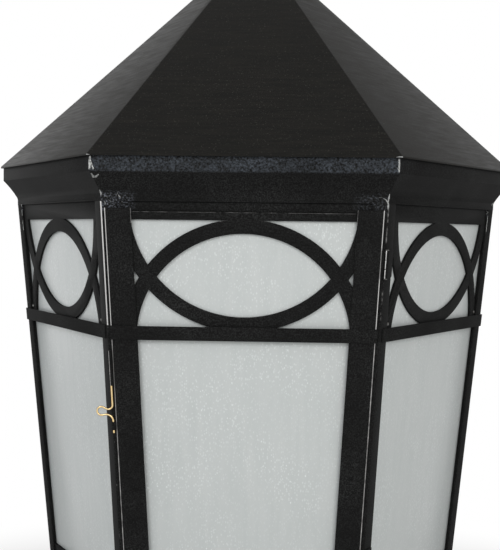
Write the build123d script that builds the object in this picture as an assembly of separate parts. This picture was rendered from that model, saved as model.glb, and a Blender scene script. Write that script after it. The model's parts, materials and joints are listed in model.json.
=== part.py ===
"""Six-sided post top lantern with a hinged front door, in millimetres.

The origin is the centre of the post fitter's mouth, +Z is up and the door faces -Y.
Side faces are numbered 0 (the door, in front) to 5, turning towards +X.
"""
from build123d import *
from math import asin, atan, atan2, cos, degrees, hypot, radians, sin, sqrt, tan
import os

# ---------------------------------------------------------------- driving dimensions

SIDES = 6
face_turn = 360 / SIDES

# Body: a hexagonal frustum. Sides are measured between corners.
head_side = 284.0
foot_side = 242.0
body_height = 424.0

# Post fitter, for a 3 in post (76.2 mm outside)
post_bore_radius = 38.4
fitter_wall = 3.2
fitter_depth = 88.0
fitter_bead = 3.0
fitter_bead_height = 7.0
flange_thickness = 4.0
flange_radius = 64.0
wire_hole_radius = 12.0
set_screw_count = 3
set_screw_height = 24.0
set_screw_radius = 3.0
set_screw_recess = 0.3
set_screw_head_radius = 6.0
set_screw_head_height = 5.0
boss_radius = 7.0
boss_reach = 5.0

# Base pan, an inverted pyramid between the fitter and the bottom ring
pan_height = 54.0
pan_sheet = 2.0
pan_foot_side = 60.0
pan_inset = 2.5

# Rings that the corner posts stand between
bottom_ring_thickness = 3.0
bottom_ring_width = 36.0
top_ring_thickness = 2.0
top_ring_width = 30.0

# Corner posts
post_leg = 16.0
post_sheet = 2.0
post_bend_radius = 2.2

# Tracery panels, with the same pattern in the door. Drops are measured down the face from its head.
tracery_sheet = 2.5
tracery_inset = 3.0
tracery_top_drop = 0.4
tracery_foot_gap = 0.3
top_rail_drop = 17.9
bottom_rail_height = 17.5
band_drop = 123.9
band_height = 14.0
band_sheet = 1.5
band_cover = 3.0
band_front_setback = 4.5
opening_cover = 1.0
arch_width = 14.5
upper_arch_radius = 106.5
upper_arch_drop = 137.5
lower_arch_radius = 113.5
lower_arch_drop = 0.9
rivet_inset = 20.0
rivet_rise = 3.4
rivet_head_radius = 1.8
rivet_head_height = 1.0
rivet_head_round = 0.8
rivet_shank_radius = 1.2

# Glass and its spring clips
glass_thickness = 3.0
glass_gap = 0.3
glass_inset = 12.0
glass_top_drop = 10.0
glass_foot_gap = 0.8
clip_sheet = 1.2
clip_height = 14.0
clip_foot = 6.0
clip_lip = 6.5
clip_count = 3
clip_end_gap = 72.0

# Strips that close the door opening at its head and foot
header_drop = 12.0
sill_height = 11.5
strip_gap = 0.5

# Door, which overlays the front posts
door_gap = 1.4
door_inset = 3.9
door_top_drop = 6.4
door_foot_gap = 5.7
stile_width = 26.2
stile_sheet = 2.0
stile_outer_chamfer = 0.9
stile_inner_chamfer = 0.4
door_tracery_drop = 10.0
door_tracery_clearance = 1.0
door_band_inset = 2.8
door_glass_top_drop = 13.0
door_glass_foot_gap = 13.0
door_glass_cover = 4.0

# Hinges, on the front right corner
hinge_drop = 59.5
pin_offset = 2.6
pin_radius = 1.0
pin_clearance = 0.05
pin_head_radius = 1.7
pin_head_height = 1.0
barrel_radius = 2.2
knuckle_height = 9.0
knuckle_gap = 0.3
knuckle_count = 3
leaf_sheet = 1.0
leaf_width = 14.0
leaf_notch = 0.3
body_leaf_lift = 0.05

# Latch, a sliding wire on the front left corner
wire_radius = 1.0
wire_fit = 0.05
wire_inset = 1.2
wire_standoff = 2.6
wire_top_drop = 151.6
wire_end_drop = 234.0
wire_upper_bend_radius = 4.2
wire_lower_bend_radius = 7.0
loop_drop = 211.0
loop_reach = 11.5
loop_radius = 4.3
loop_upper_neck = 1.4
loop_lower_neck = 2.8
sleeve_radius = 2.2
sleeve_top_drop = 149.5
sleeve_height = 35.7
saddle_width = 2.0
eye_radius = 2.3
eye_clearance = 0.3
eye_top_drop = 222.8
eye_height = 8.0

# Cornice: a neck on the top ring, a sloping cove with a slight hollow and a fascia under the eave
cornice_sheet = 1.5
neck_height = 5.5
cove_rise = 21.4
cove_hollow = 0.8
fascia_height = 16.5
eave_overhang = 3.1

# Roof
eave_across = 610.0
roof_pitch = 45.2
roof_sheet = 1.5
roof_top_side = 20.0
bracket_width = 22.0
bracket_sheet = 2.0
bracket_foot = 14.0
bracket_flange = 14.0
bracket_inset = 4.0
roof_screw_radius = 2.5
roof_screw_head_radius = 4.4
roof_screw_head_height = 3.0
roof_screw_tail = 5.0
screw_clearance = 0.2

# Cap and finial
cap_height = 18.0
cap_sheet = 2.0
cap_lid = 3.0
cap_overlap = 12.0
stud_radius = 4.0
stud_length = 32.0
stud_clearance = 0.05
stud_grip = 13.0
finial_flange_radius = 13.0
finial_flange_height = 3.0
finial_neck_radius = 6.5
finial_neck_height = 9.0
finial_neck_hollow = 1.5
finial_ball_radius = 13.5
finial_waist_radius = 4.5
finial_waist_height = 4.0
finial_tip_radius = 6.5
finial_tip_height = 16.0
nut_across = 13.0
nut_height = 6.5

# Lamp
tray_sheet = 1.5
tray_margin = 7.0
vent_count = 6
vent_radius = 60.0
vent_length = 30.0
vent_width = 8.0
stem_radius = 5.1
stem_bore = 3.4
stem_length = 132.0
stem_tail = 16.0
stem_clearance = 0.15
stem_nut_across = 19.0
stem_nut_height = 4.0
nut_corner_room = 0.5
cup_radius = 25.0
cup_height = 12.0
cup_sheet = 1.2
socket_radius = 22.0
socket_height = 46.0
socket_bore = 13.6
socket_well = 28.0
bulb_base_radius = 13.0
bulb_neck_radius = 14.5
bulb_radius = 30.0
bulb_length = 108.0
bulb_shoulder_angle = 35.0
lamp_gap = 0.3

# ---------------------------------------------------------------- levels and slopes

apothem_ratio = cos(radians(face_turn / 2))
flange_z = fitter_depth
pan_z = flange_z + flange_thickness
bottom_ring_z = pan_z + pan_height
foot_z = bottom_ring_z + bottom_ring_thickness
head_z = foot_z + body_height
neck_z = head_z + top_ring_thickness
head_apothem = head_side * apothem_ratio
foot_apothem = foot_side * apothem_ratio
face_length = hypot(body_height, head_apothem - foot_apothem)
door_front = door_gap + stile_sheet
far = eave_across + body_height


def half_side(drop):
    """Half the width of a face, at a drop down it from the head."""
    return (head_side - (head_side - foot_side) * drop / face_length) / 2


def direction(angle):
    """Level unit vector at an angle about the axis."""
    return Vector(cos(radians(angle)), sin(radians(angle)), 0)


def face_angle(face):
    """Direction of the middle of a side face."""
    return face * face_turn - 90


def face_plane(face):
    """Plane of a side face: x along it, y up its slope from the head, z straight out of it."""
    out = direction(face_angle(face))
    along = direction(face_angle(face) + 90)
    head = out * head_apothem + Vector(0, 0, head_z)
    foot = out * foot_apothem + Vector(0, 0, foot_z)
    normal = along.cross((head - foot).normalized())
    return Plane(origin=head, x_dir=along, z_dir=normal)


def corner_plane(angle, face):
    """Frame on a corner line: z up the corner, x along the named face, y into the body."""
    head = direction(angle) * head_side + Vector(0, 0, head_z)
    foot = direction(angle) * foot_side + Vector(0, 0, foot_z)
    up = (head - foot).normalized()
    return Plane(origin=head, x_dir=up.cross(face_plane(face).z_dir), z_dir=up)


def block(x, y, z):
    """Box between two values on each axis."""
    middle = Pos((x[0] + x[1]) / 2, (y[0] + y[1]) / 2, (z[0] + z[1]) / 2)
    return middle * Box(abs(x[1] - x[0]), abs(y[1] - y[0]), abs(z[1] - z[0]))


def rod(radius, low, high):
    """Upright cylinder on the axis between two heights."""
    return Pos(0, 0, (low + high) / 2) * Cylinder(radius, high - low)


def hexagon(side):
    """Hexagon with a corner on +X."""
    return RegularPolygon(side, SIDES)


def hex_nut(across, low, high, bore):
    """Hexagon nut on the axis."""
    flats = extrude(Pos(0, 0, low) * RegularPolygon(across / 2, SIDES, major_radius=False), high - low)
    return flats - rod(bore, low, high)


def trapezoid(inset, top_drop, bottom_drop):
    """Outline on a face, with its upright edges an inset from the corners."""
    top = half_side(top_drop) - inset
    bottom = half_side(bottom_drop) - inset
    return Polygon((-bottom, -bottom_drop), (bottom, -bottom_drop), (top, -top_drop), (-top, -top_drop),
                   align=None)


def on_face(face, outline, low, high):
    """Plate on a side face, between two distances out from it."""
    plane = face_plane(face)
    return extrude(plane.offset(low) * outline, high - low, dir=tuple(plane.z_dir))


def wedge():
    """The sixth of space in front of the axis, between two corners."""
    half = far * tan(radians(face_turn / 2))
    return extrude(Polygon((0, 0), (-half, -far), (half, -far), align=None), 2 * far)


def all_round(piece):
    """A front piece repeated on every side."""
    return [Rot(0, 0, face_turn * face) * piece for face in range(SIDES)]


def mitred_ring(section):
    """Six mitred lengths of a section drawn as distance out from the axis and height."""
    plane = Plane(origin=(0, 0, 0), x_dir=(0, -1, 0), z_dir=(-1, 0, 0))
    length = extrude(plane * section, far, both=True)
    return all_round(length & wedge())


def rectangle(x0, y0, x1, y1):
    """Rectangle between two corners."""
    return Polygon((x0, y0), (x1, y0), (x1, y1), (x0, y1), align=None)


# ---------------------------------------------------------------- base

def post_fitter():
    """Sleeve that goes over the post, with a bead at its mouth and set screw bosses."""
    outer = post_bore_radius + fitter_wall
    body = rod(outer, 0, flange_z)
    body += rod(outer + fitter_bead, 0, fitter_bead_height)
    for screw in range(set_screw_count):
        turn = Rot(0, 0, 90 + 360 / set_screw_count * screw)
        boss = Rot(0, 90, 0) * rod(boss_radius, post_bore_radius, outer + boss_reach)
        hole = Rot(0, 90, 0) * rod(set_screw_radius, 0, outer + 2 * boss_reach)
        body += Pos(0, 0, set_screw_height) * turn * boss
        body -= Pos(0, 0, set_screw_height) * turn * hole
    return body - rod(post_bore_radius, 0, flange_z)


def fitter_flange():
    """Plate on the sleeve that the post's end meets, with the hole for the wires."""
    return rod(flange_radius, flange_z, pan_z) - rod(wire_hole_radius, flange_z, pan_z)


def fitter_set_screws():
    """Screws that grip the post."""
    outer = post_bore_radius + fitter_wall + boss_reach
    head_end = outer + set_screw_head_height
    screws = []
    for screw in range(set_screw_count):
        turn = Rot(0, 0, 90 + 360 / set_screw_count * screw)
        shank = rod(set_screw_radius, post_bore_radius + set_screw_recess, head_end)
        head = rod(set_screw_head_radius, outer, head_end)
        screws.append(Pos(0, 0, set_screw_height) * turn * Rot(0, 90, 0) * (shank + head))
    return screws


def base_pan():
    """Sloping panels from the bottom ring down to the fitter."""
    top = foot_apothem - pan_inset
    low = pan_foot_side * apothem_ratio
    slope = hypot(pan_height, top - low) / pan_height
    section = Polygon((low, pan_z), (top, bottom_ring_z), (top - pan_sheet * slope, bottom_ring_z),
                      (low - pan_sheet * slope, pan_z), align=None)
    return mitred_ring(section)


def flat_ring(apothem, width, low, thickness):
    """Flat mitred ring."""
    return mitred_ring(rectangle(apothem - width, low, apothem, low + thickness))


# ---------------------------------------------------------------- body frame

def corner_post(corner):
    """Folded angle along one corner, cut level at its ends."""
    legs = Part()
    low = -face_length - post_leg
    for face, side in ((corner, 1), (corner + 1, -1)):
        outer_low = side * half_side(-low)
        outer_high = side * half_side(-post_leg)
        leg = Polygon((outer_low, low), (outer_high, post_leg), (outer_high - side * post_leg, post_leg),
                      (outer_low - side * post_leg, low), align=None)
        legs += on_face(face, leg, -post_sheet, 0)
    legs &= block((-far, far), (-far, far), (foot_z, head_z))
    line = corner_plane(face_angle(corner) + face_turn / 2, corner)
    fold = min(legs.edges(), key=lambda edge: line.to_local_coords(edge).center().length
               if edge.length > body_height else far)
    return fillet(fold, post_bend_radius)


def tracery(inset, opening_inset, top_drop, foot_drop):
    """Pattern of two crossing arches over one tall opening."""
    plate = trapezoid(inset, top_drop, foot_drop)
    upper_foot = band_drop + band_cover
    lower_top = band_drop + band_height - band_cover
    lower_foot = face_length - bottom_rail_height
    upper_opening = trapezoid(opening_inset, top_rail_drop, upper_foot)
    arches = Sketch()
    for radius, drop in ((upper_arch_radius, upper_arch_drop), (lower_arch_radius, lower_arch_drop)):
        arches += Pos(0, -drop) * (Circle(radius + arch_width) - Circle(radius))
    plate -= upper_opening
    plate -= trapezoid(opening_inset, lower_top, lower_foot)
    return plate + (arches & upper_opening)


def tracery_panel(face):
    """Cut plate behind the legs of two corner posts."""
    outline = tracery(tracery_inset, post_leg - opening_cover, tracery_top_drop,
                      face_length - tracery_foot_gap)
    plate = on_face(face, outline, -post_sheet - tracery_sheet, -post_sheet)
    for x, y in rivet_places():
        plate -= face_plane(face).offset(-post_sheet) * Pos(x, y) * rod(rivet_shank_radius, -tracery_sheet, 0)
    return plate


def rivet_places():
    """Rivets on a side face, just above the band."""
    drop = band_drop - rivet_rise
    x = half_side(drop) - rivet_inset
    return ((-x, -drop), (x, -drop))


def tracery_rivets():
    """Domed rivets with their shanks closed flush behind the panels."""
    rivets = []
    for face in range(1, SIDES):
        for x, y in rivet_places():
            shank = rod(rivet_shank_radius, -tracery_sheet, 0)
            head = rod(rivet_head_radius, 0, rivet_head_height)
            head = fillet(head.edges().group_by(Axis.Z)[-1], rivet_head_round)
            rivets.append(face_plane(face).offset(-post_sheet) * Pos(x, y) * (shank + head))
    return rivets


def mid_band(face):
    """Flat bar across a side face, mitred to its neighbours but set back from the door's corners."""
    foot_drop = band_drop + band_height
    left, right = -band_height, -band_height
    if face == 1:
        left = band_front_setback
    if face == SIDES - 1:
        right = band_front_setback
    outline = Polygon((left - half_side(foot_drop), -foot_drop), (half_side(foot_drop) - right, -foot_drop),
                      (half_side(band_drop) - right, -band_drop), (left - half_side(band_drop), -band_drop),
                      align=None)
    return on_face(face, outline, 0, band_sheet) & (Rot(0, 0, face_turn * face) * wedge())


def glass_pane(face):
    """Pane behind a tracery panel, standing on the bottom ring."""
    front = -post_sheet - tracery_sheet - glass_gap
    outline = trapezoid(glass_inset, glass_top_drop, face_length - glass_foot_gap)
    return on_face(face, outline, front - glass_thickness, front)


def clips(face, plate_back, pane_inset):
    """Spring clips on the back of a plate, round the upright edges of its pane."""
    pane_back = plate_back - glass_gap - glass_thickness
    web = (pane_inset - glass_gap - clip_sheet, pane_inset - glass_gap)
    pitch = (face_length - 2 * clip_end_gap) / (clip_count - 1)
    made = []
    for index in range(clip_count):
        drop = clip_end_gap + index * pitch
        for side in (-1, 1):
            y = (-drop - clip_height / 2, -drop + clip_height / 2)
            edge = side * half_side(drop)
            foot = block((edge - side * (web[0] - clip_foot), edge - side * web[1]), y,
                         (plate_back - clip_sheet, plate_back))
            lip_back = pane_back - glass_gap - clip_sheet
            upright = block((edge - side * web[0], edge - side * web[1]), y, (lip_back, plate_back))
            lip = block((edge - side * web[0], edge - side * (web[1] + clip_lip)), y,
                        (lip_back, lip_back + clip_sheet))
            lean = Pos(edge, -drop) * Rot(0, 0, -side * taper_angle()) * Pos(-edge, drop)
            made.append(face_plane(face) * lean * (foot + upright + lip))
    return made


def taper_angle():
    """Lean of a face's upright edges, in its own plane."""
    return degrees(atan((head_side - foot_side) / 2 / face_length))


def strip(top_drop, foot_drop):
    """Strip across the door opening, behind the front posts."""
    outline = trapezoid(tracery_inset, top_drop, foot_drop)
    return on_face(0, outline, -post_sheet - tracery_sheet, -post_sheet)


# ---------------------------------------------------------------- door

def door_stile(side):
    """Flat bar down one side of the door."""
    foot_drop = face_length - door_foot_gap
    edge = [side * (half_side(drop) - door_inset) for drop in (door_top_drop, foot_drop)]
    inner = [x - side * stile_width for x in edge]
    outline = Polygon((edge[1], -foot_drop), (edge[0], -door_top_drop), (inner[0], -door_top_drop),
                      (inner[1], -foot_drop), align=None)
    bar = on_face(0, outline, door_gap, door_front)
    drop = (door_top_drop + foot_drop) / 2
    for ends, size in ((edge, stile_outer_chamfer), (inner, stile_inner_chamfer)):
        middle = face_plane(0).from_local_coords(((ends[0] + ends[1]) / 2, -drop, door_front))
        bar = chamfer(bar.edges().sort_by_distance(middle)[0], size)
    return bar


def door_tracery():
    """Cut plate behind the door's stiles, narrow enough to pass between the posts."""
    opening = door_inset + stile_width - opening_cover
    outline = tracery(post_leg + door_tracery_clearance, opening, door_tracery_drop,
                      face_length - door_foot_gap - door_tracery_drop + door_top_drop)
    return on_face(0, outline, door_gap - tracery_sheet, door_gap)


def door_mid_band():
    """Flat bar across the door, over its stiles."""
    outline = trapezoid(door_band_inset, band_drop, band_drop + band_height)
    return on_face(0, outline, door_front, door_front + band_sheet)


def door_glass_inset():
    """Inset of the door's pane from the corners."""
    return door_inset + stile_width - door_glass_cover


def door_glass():
    """Pane behind the door's tracery."""
    front = door_gap - tracery_sheet - glass_gap
    outline = trapezoid(door_glass_inset(), door_glass_top_drop, face_length - door_glass_foot_gap)
    return on_face(0, outline, front - glass_thickness, front)


# ---------------------------------------------------------------- hinges

right_corner = face_angle(0) + face_turn / 2
left_corner = face_angle(0) - face_turn / 2


def hinge_axis():
    """A point on the hinge line at the head, and its direction up."""
    corner = corner_plane(right_corner, 0)
    out = (face_plane(0).z_dir + face_plane(1).z_dir).normalized()
    return corner.origin + out * pin_offset, corner.z_dir


def hinge_drops():
    """Middles of the two hinges, alike from the door's top and foot."""
    return hinge_drop, face_length - door_foot_gap - (hinge_drop - door_top_drop)


def knuckle_span(index, drop):
    """Height span of one knuckle on the corner line."""
    pitch = knuckle_height + knuckle_gap
    middle = -drop + (index - (knuckle_count - 1) / 2) * pitch
    return middle - knuckle_height / 2, middle + knuckle_height / 2


def hinge_leaf(face, drop, side, knuckles, lift):
    """Leaf on a face beside the right corner: a plate, with a tongue and barrel for each knuckle."""
    plane = corner_plane(right_corner, face)
    axis = plane.to_local_coords(hinge_axis()[0])
    low = knuckle_span(0, drop)[0]
    high = knuckle_span(knuckle_count - 1, drop)[1]
    inner = axis.X + side * (barrel_radius + leaf_notch)
    leaf = block((inner, inner + side * leaf_width), (-lift - leaf_sheet, -lift), (low, high))
    for index in knuckles:
        span = knuckle_span(index, drop)
        leaf += block((axis.X, inner), (-lift - leaf_sheet, -lift), span)
        leaf += Pos(axis.X, axis.Y) * rod(barrel_radius, *span)
    leaf -= Pos(axis.X, axis.Y) * rod(pin_radius + pin_clearance, low, high)
    return plane * leaf


def hinge_pins():
    """Headed pins through the knuckles."""
    point, up = hinge_axis()
    line = Plane(origin=point, z_dir=up)
    pins = []
    for drop in hinge_drops():
        low = knuckle_span(0, drop)[0]
        high = knuckle_span(knuckle_count - 1, drop)[1]
        pin = rod(pin_radius, low, high)
        pin += rod(pin_head_radius, low - pin_head_height, low)
        pin += rod(pin_head_radius, high, high + pin_head_height)
        pins.append(line * pin)
    return pins


# ---------------------------------------------------------------- latch

def latch_line():
    """Frame on the wire's line: z up the left corner, x towards the door."""
    return corner_plane(left_corner, 0) * Pos(wire_inset, -wire_standoff, 0)


def tangent_point(start, centre, radius, side):
    """Where a line from start touches a circle, on one side of it."""
    away = hypot(centre[0] - start[0], centre[1] - start[1])
    angle = atan2(centre[1] - start[1], centre[0] - start[0]) + side * asin(radius / away)
    reach = sqrt(away ** 2 - radius ** 2)
    return start[0] + reach * cos(angle), start[1] + reach * sin(angle)


def latch_wire():
    """Wire with a finger loop in the middle, round in section."""
    centre = (-loop_reach, -loop_drop)
    above = (0, -loop_drop - loop_upper_neck)
    below = (0, -loop_drop - loop_lower_neck)
    enter = tangent_point(above, centre, loop_radius, -1)
    leave = tangent_point(below, centre, loop_radius, 1)

    def lay(point):
        return point[0], 0, point[1]

    upper = FilletPolyline(lay((0, -wire_top_drop)), lay(above), lay(enter),
                           radius=wire_upper_bend_radius)
    loop = ThreePointArc(lay(enter), lay((centre[0] - loop_radius, centre[1])), lay(leave))
    lower = FilletPolyline(lay(leave), lay(below), lay((0, -wire_end_drop)),
                           radius=wire_lower_bend_radius)
    path = Wire(upper.edges() + loop.edges() + lower.edges())
    section = Plane(origin=lay((0, -wire_top_drop)), z_dir=(0, 0, -1)) * Circle(wire_radius)
    return latch_line() * sweep(section, path=path)


def latch_sleeve():
    """Tube on the corner post that guides the wire, on a welded saddle."""
    low = -sleeve_top_drop - sleeve_height
    high = -sleeve_top_drop
    tube = rod(sleeve_radius, low, high)
    tube += block((-saddle_width / 2, saddle_width / 2), (0, wire_standoff), (low, high))
    return latch_line() * (tube - rod(wire_radius + wire_fit, low, high))


def door_latch_eye():
    """Eye on the door's edge that the wire's lower end drops into."""
    low = -eye_top_drop - eye_height
    high = -eye_top_drop
    ring = rod(eye_radius, low, high)
    door_edge = door_inset * cos(radians(taper_angle())) - wire_inset
    ring += block((0, door_edge), (wire_standoff - door_gap, wire_standoff - door_front), (low, high))
    return latch_line() * (ring - rod(wire_radius + eye_clearance, low, high))


# ---------------------------------------------------------------- cornice and roof

eave_side = eave_across / 2
eave_apothem = eave_side * apothem_ratio
fascia_apothem = eave_apothem - eave_overhang
cove_lean = atan2(fascia_apothem - head_apothem, cove_rise)
cove_z = neck_z + neck_height
fascia_z = cove_z + cove_rise
eave_z = fascia_z + fascia_height
roof_tangent = tan(radians(roof_pitch))
roof_drop = roof_sheet / cos(radians(roof_pitch))


def roof_height(apothem):
    """Height of the roof's outer surface at a distance out from the axis."""
    return eave_z + (eave_apothem - apothem) * roof_tangent


def cove_line(inward, lift):
    """Hollow line of the cove from the neck to the fascia, moved inward and up."""
    foot = (head_apothem - inward, cove_z + lift)
    head = (fascia_apothem - inward, fascia_z + lift)
    middle = ((foot[0] + head[0]) / 2 - cove_hollow * cos(cove_lean),
              (foot[1] + head[1]) / 2 + cove_hollow * sin(cove_lean))
    return ThreePointArc(foot, middle, head)


def cornice_moulding():
    """Neck, cove and fascia folded from one sheet, open behind."""
    fold_lift = cornice_sheet * tan(cove_lean / 2)
    neck_in = head_apothem - cornice_sheet
    fascia_in = fascia_apothem - cornice_sheet
    neck = Polyline((neck_in, cove_z + fold_lift), (neck_in, neck_z), (head_apothem, neck_z),
                    (head_apothem, cove_z))
    fascia = Polyline((fascia_apothem, fascia_z), (fascia_apothem, roof_height(fascia_apothem) - roof_drop),
                      (fascia_in, roof_height(fascia_in) - roof_drop), (fascia_in, fascia_z + fold_lift))
    return mitred_ring(make_face(neck + cove_line(0, 0) + fascia + cove_line(cornice_sheet, fold_lift)))


def roof_shell():
    """Six sloping sheets from the eave to the cap."""
    top = roof_top_side * apothem_ratio
    section = Polygon((eave_apothem, eave_z), (top, roof_height(top)), (top, roof_height(top) - roof_drop),
                      (eave_apothem, eave_z - roof_drop), align=None)
    return mitred_ring(section)


def bracket_out():
    """Distance from the axis to the outer end of the roof brackets' feet, behind the cornice."""
    return min(head_apothem, fascia_apothem) - cornice_sheet - bracket_inset


def roof_brackets():
    """Straps that tie the roof down to the top ring."""
    outer = bracket_out()
    inner = outer - bracket_foot
    under = roof_height(inner) - roof_drop
    flange_out = bracket_flange * cos(radians(roof_pitch))
    thick = bracket_sheet / cos(radians(roof_pitch))
    section = Polygon((outer, neck_z), (outer, neck_z + bracket_sheet),
                      (inner + bracket_sheet, neck_z + bracket_sheet),
                      (inner + bracket_sheet, under - thick - bracket_sheet * roof_tangent),
                      (inner + flange_out, under - thick - flange_out * roof_tangent),
                      (inner + flange_out, under - flange_out * roof_tangent),
                      (inner, under), (inner, neck_z), align=None)
    plane = Plane(origin=(0, 0, 0), x_dir=(0, -1, 0), z_dir=(-1, 0, 0))
    strap = extrude(plane * section, bracket_width / 2, both=True)
    strap -= roof_screw_place() * rod(roof_screw_radius + screw_clearance, 0, bracket_sheet)
    return all_round(strap)


def roof_screw_place():
    """Top of the ring on the line of a front roof screw."""
    return Pos(0, -(bracket_out() - bracket_foot / 2 + bracket_sheet / 2), neck_z)


def top_ring():
    """Ring on the heads of the posts, drilled for the roof screws."""
    ring = flat_ring(head_apothem, top_ring_width, head_z, top_ring_thickness)
    hole = roof_screw_place() * rod(roof_screw_radius + screw_clearance, -top_ring_thickness, 0)
    return [length - drill for length, drill in zip(ring, all_round(hole))]


def roof_screws():
    """Screws up through the top ring and the brackets, each with its nut."""
    under = -top_ring_thickness
    screw = rod(roof_screw_radius, under, bracket_sheet + roof_screw_tail)
    screw += rod(roof_screw_head_radius, under - roof_screw_head_height, under)
    nut_top = bracket_sheet + roof_screw_tail - screw_clearance
    nut = hex_nut(2 * roof_screw_head_radius, bracket_sheet, nut_top, roof_screw_radius)
    return all_round(roof_screw_place() * (screw + nut))


cap_sheet_drop = cap_sheet / cos(radians(roof_pitch))
cap_foot_z = roof_height(roof_top_side * apothem_ratio) - cap_overlap
cap_top_z = cap_foot_z + cap_height


def roof_side(z):
    """Side of the roof's outer hexagon at a height."""
    return (eave_apothem - (z - eave_z) / roof_tangent) / apothem_ratio


def hex_frustum(low_side, low_z, high_side, high_z):
    """Solid between two hexagons."""
    return loft([Pos(0, 0, low_z) * hexagon(low_side), Pos(0, 0, high_z) * hexagon(high_side)])


def roof_apex_cap():
    """Small pyramid over the open top of the roof, flat on top."""
    outer = hex_frustum(roof_side(cap_foot_z - cap_sheet_drop), cap_foot_z,
                        roof_side(cap_top_z - cap_sheet_drop), cap_top_z)
    lid_z = cap_top_z - cap_lid
    inner = hex_frustum(roof_side(cap_foot_z), cap_foot_z, roof_side(lid_z), lid_z)
    return outer - inner - rod(stud_radius + screw_clearance, lid_z, cap_top_z)


def finial():
    """Turned finial, bored from below for its stud."""
    foot_z = cap_top_z + finial_flange_height
    neck_top = foot_z + finial_neck_height
    ball_z = neck_top + sqrt(finial_ball_radius ** 2 - finial_neck_radius ** 2)
    waist_z = ball_z + sqrt(finial_ball_radius ** 2 - finial_waist_radius ** 2)
    tip_z = waist_z + finial_waist_height
    tip_middle = tip_z + finial_tip_radius
    hollow = (finial_flange_radius + finial_neck_radius) / 2 - finial_neck_hollow
    bottom = Polyline((0, cap_top_z), (finial_flange_radius, cap_top_z), (finial_flange_radius, foot_z))
    middle_z = (foot_z + neck_top) / 2 - finial_neck_hollow
    neck = ThreePointArc((finial_flange_radius, foot_z), (hollow, middle_z), (finial_neck_radius, neck_top))
    ball = ThreePointArc((finial_neck_radius, neck_top), (finial_ball_radius, ball_z),
                         (finial_waist_radius, waist_z))
    waist = Line((finial_waist_radius, waist_z), (finial_waist_radius, tip_z))
    tip = ThreePointArc((finial_waist_radius, tip_z), (finial_tip_radius, tip_middle),
                        (finial_waist_radius, tip_middle + finial_tip_radius))
    point = Polyline((finial_waist_radius, tip_middle + finial_tip_radius), (0, tip_z + finial_tip_height),
                     (0, cap_top_z))
    turned = revolve(Plane.XZ * make_face(bottom + neck + ball + waist + tip + point), Axis.Z)
    return turned - rod(stud_radius + stud_clearance, cap_top_z, cap_top_z + stud_grip)


def finial_stud():
    """Threaded stud from the finial down through the cap."""
    high = cap_top_z + stud_grip
    return rod(stud_radius, high - stud_length, high)


def finial_nut():
    """Nut that pulls the finial down on the cap."""
    high = cap_top_z - cap_lid
    return hex_nut(nut_across, high - nut_height, high, stud_radius + stud_clearance)


# ---------------------------------------------------------------- lamp

tray_z = foot_z
tray_top = tray_z + tray_sheet
stem_low = tray_z - stem_tail
stem_high = stem_low + stem_length
cup_z = stem_high - cup_sheet - stem_nut_height
socket_z = cup_z + cup_sheet
bulb_z = socket_z + socket_height - socket_well + lamp_gap


def lamp_tray():
    """Vented floor on the bottom ring, which carries the stem."""
    side = (foot_apothem - bottom_ring_width) / apothem_ratio + tray_margin
    tray = extrude(Pos(0, 0, tray_z) * hexagon(side), tray_sheet)
    tray -= rod(stem_radius + stem_clearance, tray_z, tray_top)
    vent = extrude(Pos(0, 0, tray_z) * SlotOverall(vent_length, vent_width), tray_sheet)
    for index in range(vent_count):
        tray -= Rot(0, 0, 360 / vent_count * index) * Pos(vent_radius, 0, 0) * vent
    return tray


def lamp_stem():
    """Hollow stem for the wires."""
    return rod(stem_radius, stem_low, stem_high) - rod(stem_bore, stem_low, stem_high)


def stem_nuts():
    """Nuts on both sides of the tray and of the cup's floor."""
    lows = (tray_z - stem_nut_height, tray_top, cup_z - stem_nut_height, socket_z)
    bore = stem_radius + stud_clearance
    return [hex_nut(stem_nut_across, low, low + stem_nut_height, bore) for low in lows]


def socket_cup():
    """Cup that holds the foot of the socket."""
    cup = rod(cup_radius, cup_z, cup_z + cup_height)
    cup -= rod(cup_radius - cup_sheet, socket_z, cup_z + cup_height)
    return cup - rod(stem_radius + stem_clearance, cup_z, socket_z)


def lamp_socket():
    """Ceramic socket with a well for the bulb's base and a recess over the stem nut."""
    recess = stem_nut_height + lamp_gap
    body = rod(socket_radius, socket_z, socket_z + socket_height)
    body -= rod(socket_bore, socket_z + socket_height - socket_well, socket_z + socket_height)
    corner = stem_nut_across / sqrt(3) + nut_corner_room
    return body - rod(corner, socket_z, socket_z + recess)


def lamp_bulb():
    """Bulb with its screw base in the socket."""
    neck_foot = socket_z + socket_height + lamp_gap
    neck_top = neck_foot + bulb_neck_radius - bulb_base_radius
    top = bulb_z + bulb_length
    globe_z = top - bulb_radius
    shoulder = radians(-bulb_shoulder_angle)
    meet = (bulb_radius * cos(shoulder), globe_z + bulb_radius * sin(shoulder))
    base = Polyline((0, bulb_z), (bulb_base_radius, bulb_z), (bulb_base_radius, neck_foot))
    neck = Polyline((bulb_base_radius, neck_foot), (bulb_neck_radius, neck_top), meet)
    globe = ThreePointArc(meet, (bulb_radius, globe_z), (0, top))
    axis = Line((0, top), (0, bulb_z))
    return revolve(Plane.XZ * make_face(base + neck + globe + axis), Axis.Z)


# ---------------------------------------------------------------- all nodes

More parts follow.
